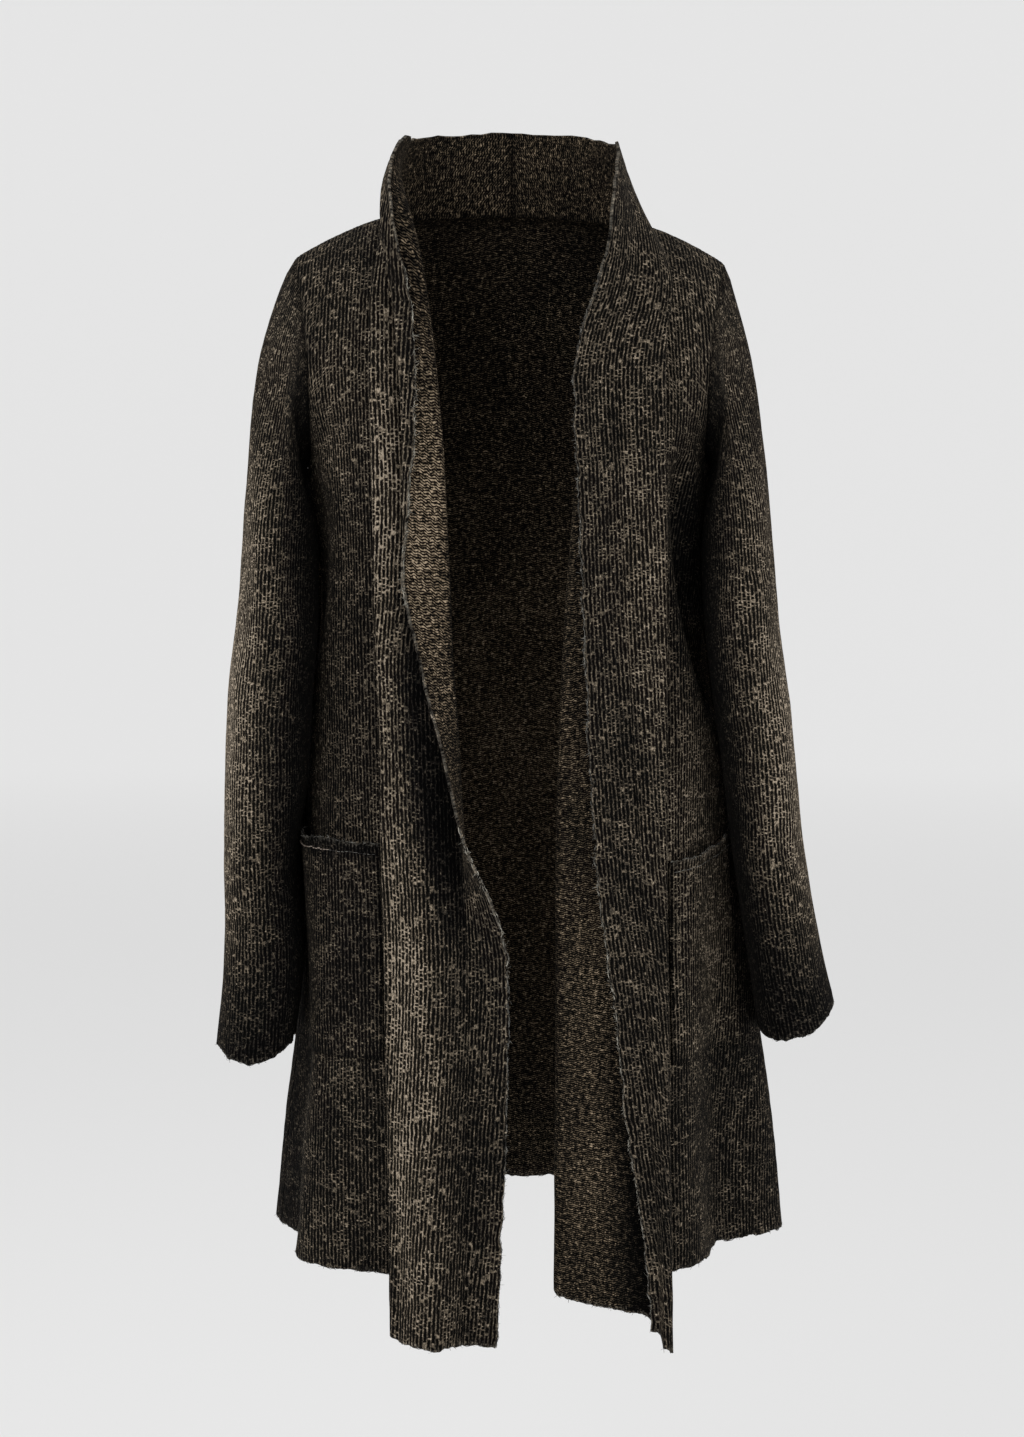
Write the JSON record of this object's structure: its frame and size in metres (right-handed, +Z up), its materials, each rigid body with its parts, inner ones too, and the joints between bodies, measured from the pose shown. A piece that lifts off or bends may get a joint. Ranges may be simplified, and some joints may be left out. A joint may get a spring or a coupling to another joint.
{
  "type": "shawl collar cardigan",
  "caption": "Long open-front shawl collar cardigan in thick felted ribbed knit, raw frayed edges, folded lapel bands, patch pockets, in its worn form",
  "frame": {"origin": "midway between the two points where the shoulder seams meet the neck, inside the neck opening", "axes": "+Z up along the body; the garment's front faces -Y; the wearer's left is +X"},
  "size_m": [0.5366, 0.3497, 1.0393],
  "materials": {
    "back_knit": "thick felted wool knit, charcoal black with fine broken vertical ribs flecked in grey brown",
    "front_knit": "thick felted wool knit, charcoal black shaded to warm brown, fine broken vertical ribs",
    "collar_knit": "thick felted wool knit, ribbed right side shaded to beige brown and a wavy-rowed wrong side, raw cream-frayed edge",
    "sleeve_knit": "thick felted wool knit, charcoal black at the shoulder and cuff shaded to brown between, fine broken ribs",
    "pocket_knit": "thick felted wool knit, charcoal black, fine broken ribs, raw frayed mouth edge"
  },
  "bodies": {
    "root": {"back": "back_knit", "collar_left": "collar_knit", "collar_right": "collar_knit", "front_left": "front_knit", "front_right": "front_knit", "pocket_left": "pocket_knit", "pocket_right": "pocket_knit", "sleeve_left": "sleeve_knit", "sleeve_right": "sleeve_knit"}
  },
  "joints": []
}
